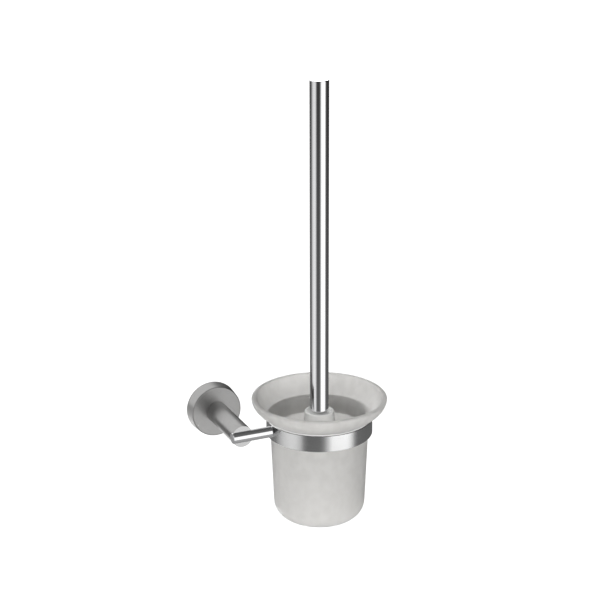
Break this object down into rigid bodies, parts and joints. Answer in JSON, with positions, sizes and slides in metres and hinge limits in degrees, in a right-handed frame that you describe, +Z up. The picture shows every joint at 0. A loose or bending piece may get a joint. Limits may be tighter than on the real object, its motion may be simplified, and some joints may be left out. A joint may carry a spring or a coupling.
{
  "type": "wall-mounted toilet brush holder",
  "caption": "Wall-mounted toilet brush set: steel arm with a ring that holds a frosted glass cup, in which a brush with a long steel handle stands.",
  "frame": {"origin": "centre of the wall plate's back face, on the wall", "axes": "+Y into the wall, +Z up along the brush handle, +X along the wall from the arm towards the cup"},
  "size_m": [0.1534, 0.1316, 0.386],
  "materials": {
    "satin_steel": "satin",
    "polished_steel": "polished",
    "brushed_ring_steel": "satin",
    "zinc_steel": "satin",
    "black_rubber": "matte",
    "brass": "satin",
    "frosted_glass": "matte",
    "clear_plastic": "satin",
    "white_plastic": "satin",
    "bristle_nylon": "matte"
  },
  "bodies": {
    "holder": {"wall_plate": "zinc_steel", "wall_gasket": "black_rubber", "rosette": "satin_steel", "rosette_set_screw": "zinc_steel", "post": "satin_steel", "arm_screw": "zinc_steel", "arm_washer": "zinc_steel", "cross_rod": "polished_steel", "ring": "brushed_ring_steel", "ring_screw": "zinc_steel", "ring_liner": "clear_plastic"},
    "glass": {"glass_cup": "frosted_glass"},
    "brush": {"handle_tube": "polished_steel", "handle_cap": "polished_steel", "handle_bush": "brass", "head_stud": "zinc_steel", "head_core": "white_plastic", "end_disc": "white_plastic", "bristle_anchors": "brass", "side_bristles": "bristle_nylon", "end_bristles": "bristle_nylon"}
  },
  "joints": [
    {"name": "glass_lift", "type": "slide", "parent": "holder", "child": "glass", "axis": [0, 0, 1], "range_m": [0, 0.11]},
    {"name": "brush_lift", "type": "slide", "parent": "glass", "child": "brush", "axis": [0, 0, 1], "range_m": [0, 0.12]}
  ]
}
